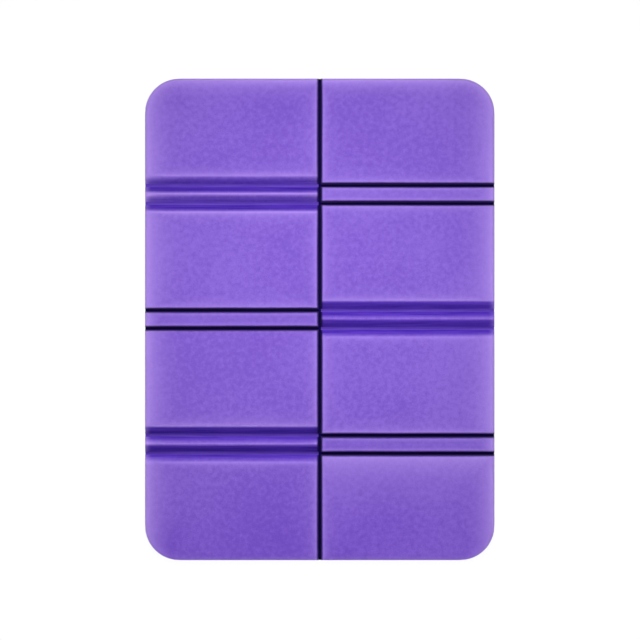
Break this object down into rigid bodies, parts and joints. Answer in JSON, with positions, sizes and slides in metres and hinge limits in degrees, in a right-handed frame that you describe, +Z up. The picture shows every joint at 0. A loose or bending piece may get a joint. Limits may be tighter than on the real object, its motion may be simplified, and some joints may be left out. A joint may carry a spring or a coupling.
{
  "type": "folding sit mat",
  "caption": "Flat closed-cell foam sit mat, pressed with grooves and slits as living hinges, that folds back to back down its middle and then zigzags into a small pack.",
  "frame": {"origin": "centre of the back, on the surface that the mat lies on", "axes": "+Y along the length towards row 1, +X towards the right column, +Z up out of the pressed face"},
  "size_m": [0.283, 0.39, 0.007],
  "materials": {
    "violet_foam": "matte closed-cell foam skin",
    "pressed_violet_foam": "heat-pressed foam skin, slightly smoother",
    "fused_web_foam": "fully compacted foam, smooth and dark"
  },
  "bodies": {
    "left_1": {"panel_left_1": "violet_foam"},
    "right_1": {"panel_right_1": "violet_foam", "centre_web_row_1": "fused_web_foam"},
    "left_2": {"panel_left_2": "violet_foam"},
    "right_2": {"panel_right_2": "violet_foam", "centre_web_row_2": "fused_web_foam"},
    "left_3": {"panel_left_3": "violet_foam"},
    "right_3": {"panel_right_3": "violet_foam", "centre_web_row_3": "fused_web_foam"},
    "left_4": {"panel_left_4": "violet_foam"},
    "right_4": {"panel_right_4": "violet_foam", "centre_web_row_4": "fused_web_foam"},
    "spine_left_1": {"ridge_strip_left_1": "pressed_violet_foam", "hinge_web_left_1_upper": "fused_web_foam", "hinge_web_left_1_lower": "fused_web_foam"},
    "spine_right_1": {"flat_strip_right_1": "violet_foam", "hinge_web_right_1_upper": "fused_web_foam", "hinge_web_right_1_lower": "fused_web_foam", "centre_web_fold_1": "fused_web_foam"},
    "spine_left_2": {"flat_strip_left_2": "violet_foam", "hinge_web_left_2_upper": "fused_web_foam", "hinge_web_left_2_lower": "fused_web_foam"},
    "spine_right_2": {"ridge_strip_right_2": "pressed_violet_foam", "hinge_web_right_2_upper": "fused_web_foam", "hinge_web_right_2_lower": "fused_web_foam", "centre_web_fold_2": "fused_web_foam"},
    "spine_left_3": {"ridge_strip_left_3": "pressed_violet_foam", "hinge_web_left_3_upper": "fused_web_foam", "hinge_web_left_3_lower": "fused_web_foam"},
    "spine_right_3": {"flat_strip_right_3": "violet_foam", "hinge_web_right_3_upper": "fused_web_foam", "hinge_web_right_3_lower": "fused_web_foam", "centre_web_fold_3": "fused_web_foam"}
  },
  "joints": [
    {"name": "centre_fold", "type": "hinge", "parent": "left_4", "child": "right_4", "pos_m": [0, -0.15172, -0.00015], "axis": [0, 1, 0], "range_deg": [0, 180]},
    {"name": "fold_3_lower", "type": "hinge", "parent": "right_4", "child": "spine_right_3", "pos_m": [0.07075, -0.10845, -0.00015], "axis": [-1, 0, 0], "range_deg": [0, 90]},
    {"name": "fold_3_upper", "type": "hinge", "parent": "spine_right_3", "child": "right_3", "pos_m": [0.07075, -0.09385, -0.00015], "axis": [-1, 0, 0], "range_deg": [0, 90]},
    {"name": "centre_fold_spine_3", "type": "hinge", "parent": "spine_right_3", "child": "spine_left_3", "pos_m": [0, -0.10115, -0.00015], "axis": [0, -1, 0], "range_deg": [0, 180]},
    {"name": "centre_fold_row_3", "type": "hinge", "parent": "right_3", "child": "left_3", "pos_m": [0, -0.05058, -0.00015], "axis": [0, -1, 0], "range_deg": [0, 180]},
    {"name": "fold_2_lower", "type": "hinge", "parent": "left_3", "child": "spine_left_2", "pos_m": [-0.07075, -0.0073, -0.00015], "axis": [-1, 0, 0], "range_deg": [0, 90]},
    {"name": "fold_2_upper", "type": "hinge", "parent": "spine_left_2", "child": "left_2", "pos_m": [-0.07075, 0.0073, -0.00015], "axis": [-1, 0, 0], "range_deg": [0, 90]},
    {"name": "centre_fold_spine_2", "type": "hinge", "parent": "spine_left_2", "child": "spine_right_2", "pos_m": [0, 0, -0.00015], "axis": [0, 1, 0], "range_deg": [0, 180]},
    {"name": "centre_fold_row_2", "type": "hinge", "parent": "left_2", "child": "right_2", "pos_m": [0, 0.05058, -0.00015], "axis": [0, 1, 0], "range_deg": [0, 180]},
    {"name": "fold_1_lower", "type": "hinge", "parent": "right_2", "child": "spine_right_1", "pos_m": [0.07075, 0.09385, -0.00015], "axis": [-1, 0, 0], "range_deg": [0, 90]},
    {"name": "fold_1_upper", "type": "hinge", "parent": "spine_right_1", "child": "right_1", "pos_m": [0.07075, 0.10845, -0.00015], "axis": [-1, 0, 0], "range_deg": [0, 90]},
    {"name": "centre_fold_spine_1", "type": "hinge", "parent": "spine_right_1", "child": "spine_left_1", "pos_m": [0, 0.10115, -0.00015], "axis": [0, -1, 0], "range_deg": [0, 180]},
    {"name": "centre_fold_row_1", "type": "hinge", "parent": "right_1", "child": "left_1", "pos_m": [0, 0.15172, -0.00015], "axis": [0, -1, 0], "range_deg": [0, 180]}
  ],
  "couplings": [
    {"joint": "centre_fold_spine_3", "follows": "centre_fold", "ratio": 1},
    {"joint": "centre_fold_row_3", "follows": "centre_fold", "ratio": 1},
    {"joint": "centre_fold_spine_2", "follows": "centre_fold", "ratio": 1},
    {"joint": "centre_fold_row_2", "follows": "centre_fold", "ratio": 1},
    {"joint": "centre_fold_spine_1", "follows": "centre_fold", "ratio": 1},
    {"joint": "centre_fold_row_1", "follows": "centre_fold", "ratio": 1}
  ]
}
